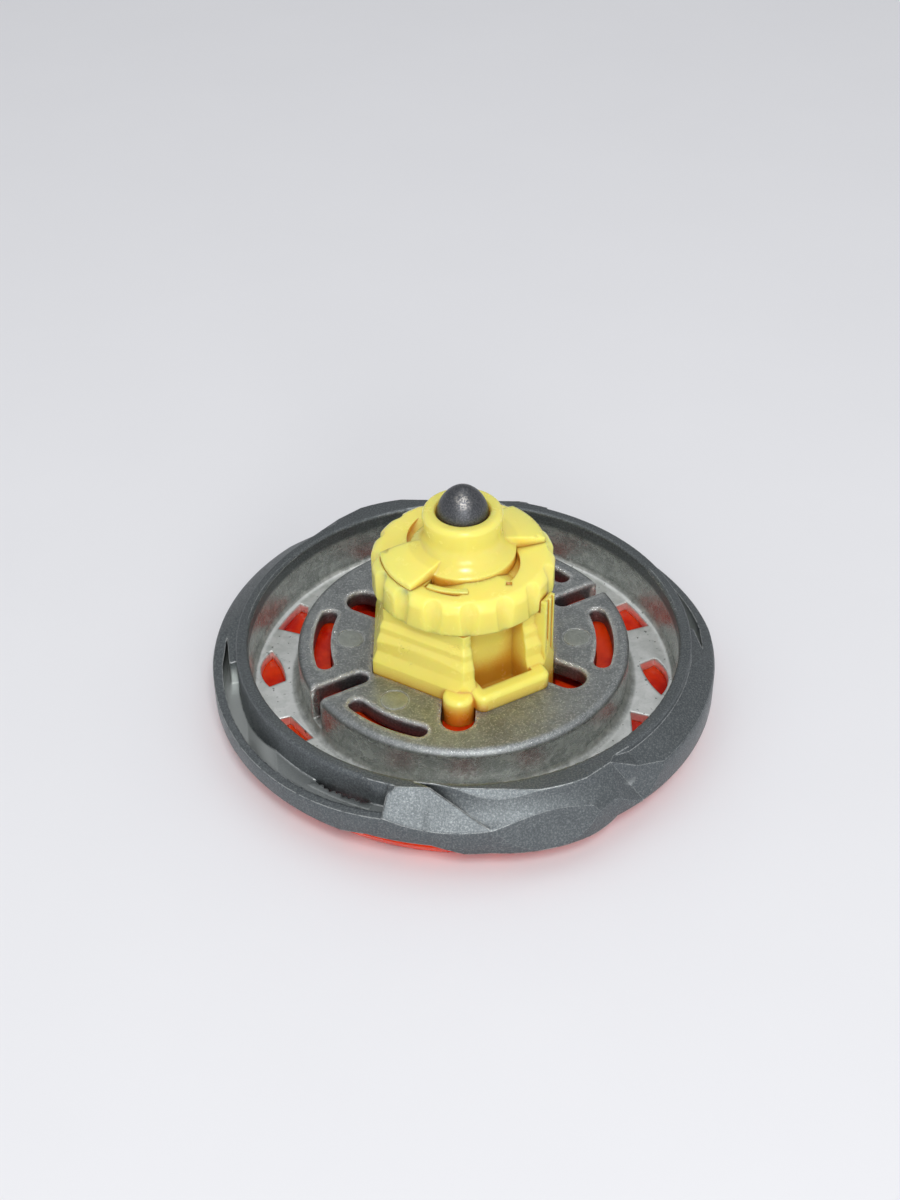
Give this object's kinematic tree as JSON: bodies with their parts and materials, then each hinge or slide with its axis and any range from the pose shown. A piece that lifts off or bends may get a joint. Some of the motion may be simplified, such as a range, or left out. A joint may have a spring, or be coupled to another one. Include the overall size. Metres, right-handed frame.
{
  "type": "light-up spinning top",
  "caption": "Light-up spinning top lying face down: cast metal wheel on a clear red light ring, yellow core with lock dial and metal tip, sealed light module.",
  "frame": {"origin": "on the spin axis, in the plane the face rests on", "axes": "+Z along the spin axis towards the metal tip, +X across two opposite flats of the core"},
  "size_m": [0.0454, 0.0454, 0.0239],
  "materials": {
    "wheel_metal": "die-cast zinc, dull grey, satin",
    "ring_red": "translucent orange-red polycarbonate",
    "lens_red": "translucent orange-red polycarbonate",
    "core_yellow": "moulded yellow ABS, semi-gloss",
    "dial_yellow": "moulded yellow ABS, semi-gloss",
    "tip_metal": "dark turned metal, worn at the point",
    "spring_steel": "spring steel",
    "board_green": "solder-masked glass-epoxy",
    "epoxy_black": "black epoxy",
    "led_body": "white package with clear dome",
    "cell_steel": "nickel-plated steel",
    "sleeve_clear": "heat-shrink film",
    "contact_brass": "plated brass",
    "switch_black": "black nylon",
    "screw_steel": "zinc-plated steel"
  },
  "bodies": {
    "wheel": {"metal_wheel": "wheel_metal", "light_ring": "ring_red", "face_lens": "lens_red", "core_housing": "core_yellow", "circuit_board": "board_green", "driver_chip": "epoxy_black", "series_resistor": "epoxy_black", "button_cell_lower": "cell_steel", "button_cell_upper": "cell_steel", "cell_sleeve": "sleeve_clear", "negative_contact": "contact_brass", "positive_contact": "contact_brass", "switch_case": "switch_black", "switch_spring": "spring_steel", "switch_contact": "contact_brass", "core_screws": "screw_steel", "led_1": "led_body", "led_2": "led_body", "led_3": "led_body"},
    "dial": {"lock_dial": "dial_yellow", "tip_holder": "dial_yellow", "metal_tip": "tip_metal", "retaining_clip": "spring_steel"},
    "weight": {"switch_weight": "contact_brass"}
  },
  "joints": [
    {"name": "dial_turn", "type": "hinge", "parent": "wheel", "child": "dial", "pos_m": [0, 0, 0.0155], "axis": [0, 0, 1], "range_deg": [-22, 12]},
    {"name": "switch_close", "type": "slide", "parent": "wheel", "child": "weight", "axis": [1, 0, 0], "range_m": [0, 0.0006], "stiffness_N_per_m": 0.5, "springref_m": -0.0003, "deforming": ["switch_spring"]}
  ]
}
